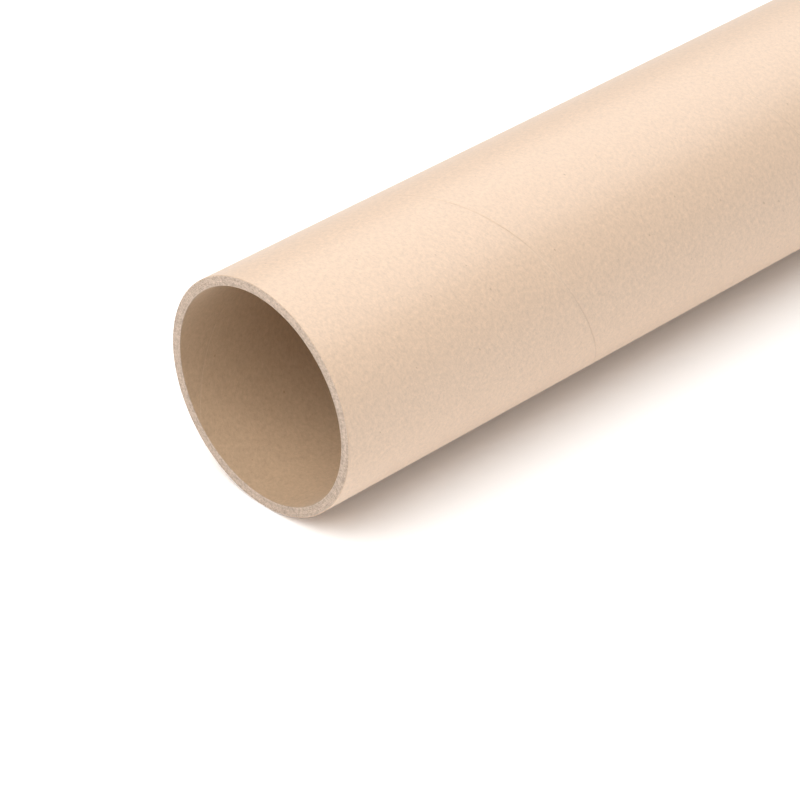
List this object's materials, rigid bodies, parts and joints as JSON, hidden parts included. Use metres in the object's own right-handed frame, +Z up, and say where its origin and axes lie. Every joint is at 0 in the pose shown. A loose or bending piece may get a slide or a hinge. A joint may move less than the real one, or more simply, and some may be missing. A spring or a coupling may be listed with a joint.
{
  "type": "cardboard mailing tube",
  "caption": "Long spirally wound paperboard mailing tube, open at one end, with a moulded pull-out plug in the other end.",
  "frame": {"origin": "on the tube's axis, at the surface that its closed end stands on", "axes": "+Z up along the tube from its plug to its open end, -Y its front"},
  "size_m": [0.0694, 0.0694, 0.6118],
  "materials": {
    "kraft_board": "matte, uncoated brown kraft paper",
    "plug_plastic": "satin, natural white moulding"
  },
  "bodies": {
    "tube": {"tube": "kraft_board"},
    "plug": {"end_plug": "plug_plastic"}
  },
  "joints": [
    {"name": "plug_pull", "type": "slide", "parent": "tube", "child": "plug", "axis": [0, 0, -1], "range_m": [0, 0.04]}
  ]
}
